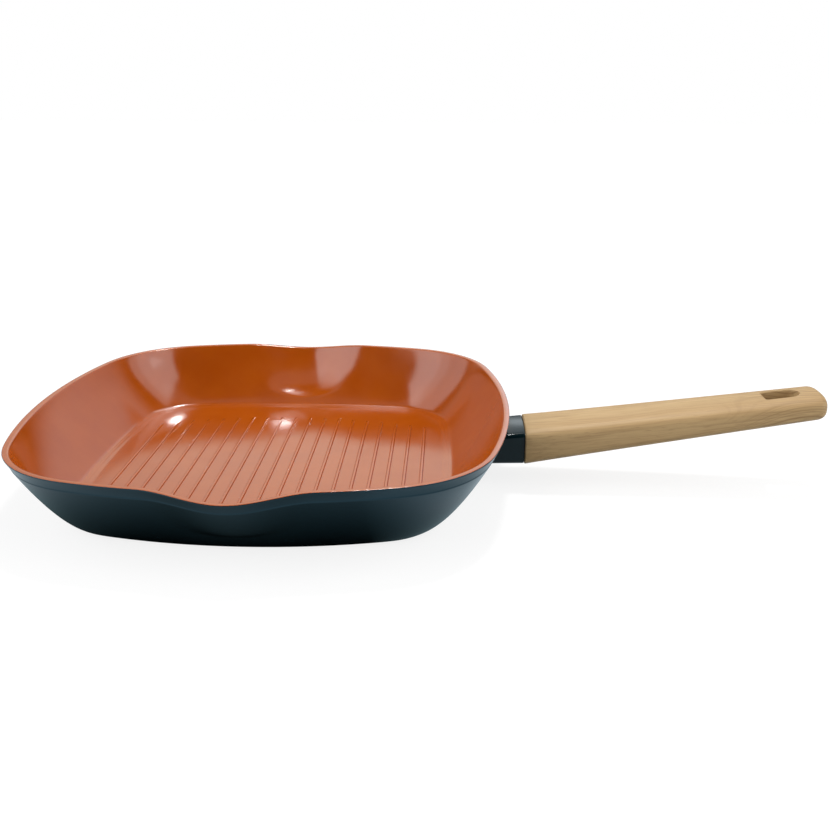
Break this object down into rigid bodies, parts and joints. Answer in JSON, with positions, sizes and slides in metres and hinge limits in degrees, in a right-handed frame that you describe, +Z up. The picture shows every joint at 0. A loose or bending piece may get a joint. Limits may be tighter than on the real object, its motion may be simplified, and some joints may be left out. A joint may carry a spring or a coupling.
{
  "type": "grill pan",
  "caption": "Square grill pan with a ribbed orange ceramic-coated inside, a pouring lip front and back, a black outside and one long wooden handle with a hanging slot.",
  "frame": {"origin": "middle of the underside of the pan, on the surface that it stands on", "axes": "+X towards the handle, +Y along the ribs to the far pouring lip, +Z up"},
  "size_m": [0.4644, 0.2926, 0.0568],
  "materials": {
    "coated_pan": "satin",
    "base_steel": "satin",
    "cast_lug": "satin",
    "black_enamel": "gloss",
    "grip_wood": "matte",
    "fastener_steel": "satin"
  },
  "bodies": {
    "root": {"pan_body": "coated_pan", "induction_disc": "base_steel", "handle_lug": "cast_lug", "handle_collar": "black_enamel", "handle_grip": "grip_wood", "handle_screw": "fastener_steel", "flat_washer": "fastener_steel", "lock_washer": "fastener_steel"}
  },
  "joints": []
}
